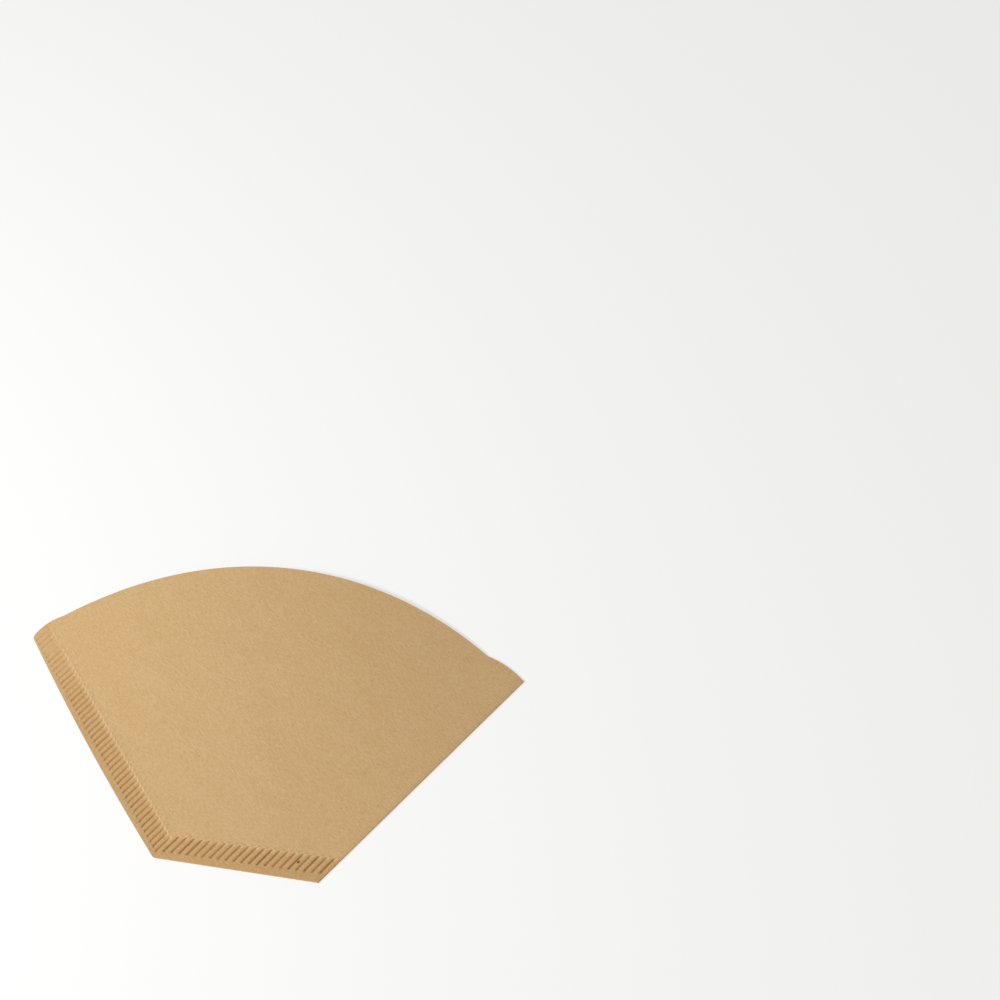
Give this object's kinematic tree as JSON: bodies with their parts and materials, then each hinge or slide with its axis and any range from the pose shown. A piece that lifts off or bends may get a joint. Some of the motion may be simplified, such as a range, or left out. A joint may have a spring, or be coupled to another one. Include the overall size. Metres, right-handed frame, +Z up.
{
  "type": "paper coffee filter",
  "caption": "Flat-folded unbleached cone coffee filter: crimped side and bottom seams, a plain folded edge and a curved open mouth.",
  "frame": {"origin": "under the middle of the flat filter's bounding box, on the surface that it lies on", "axes": "+Z up out of the face with the pressed-in bars, +Y from the bottom seam towards the mouth, +X from the crimped side seam towards the folded edge"},
  "size_m": [0.1588, 0.0986, 0.0032],
  "materials": {
    "filter_paper": "matt unbleached creped paper"
  },
  "bodies": {
    "root": {"filter_paper": "filter_paper"}
  },
  "joints": []
}
